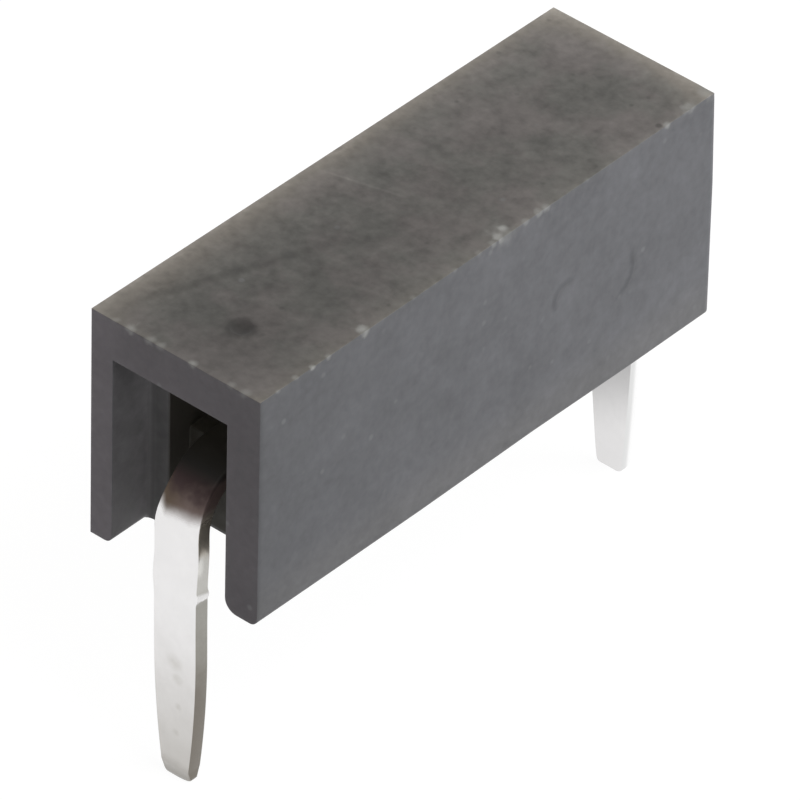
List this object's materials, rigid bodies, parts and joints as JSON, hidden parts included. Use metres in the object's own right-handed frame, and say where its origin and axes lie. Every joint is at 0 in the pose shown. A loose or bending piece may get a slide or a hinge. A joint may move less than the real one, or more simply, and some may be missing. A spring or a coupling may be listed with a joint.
{
  "type": "right-angle female header",
  "caption": "Right-angle board socket: a dark moulded housing with notched ends around a stamped spring contact whose tinned legs bend down to solder into a board.",
  "frame": {"origin": "on the board face of the housing, midway between the two legs and midway across the front end", "axes": "+Z away from the board, +Y along the housing in the direction that a pin goes in, +X to the right seen from the pin entry"},
  "size_m": [0.0026, 0.0078, 0.0061],
  "materials": {
    "housing_plastic": "moulded matt dark grey with a fine grain",
    "contact_metal": "satin tin plate over a copper alloy"
  },
  "bodies": {
    "root": {"housing": "housing_plastic", "contact": "contact_metal"}
  },
  "joints": []
}
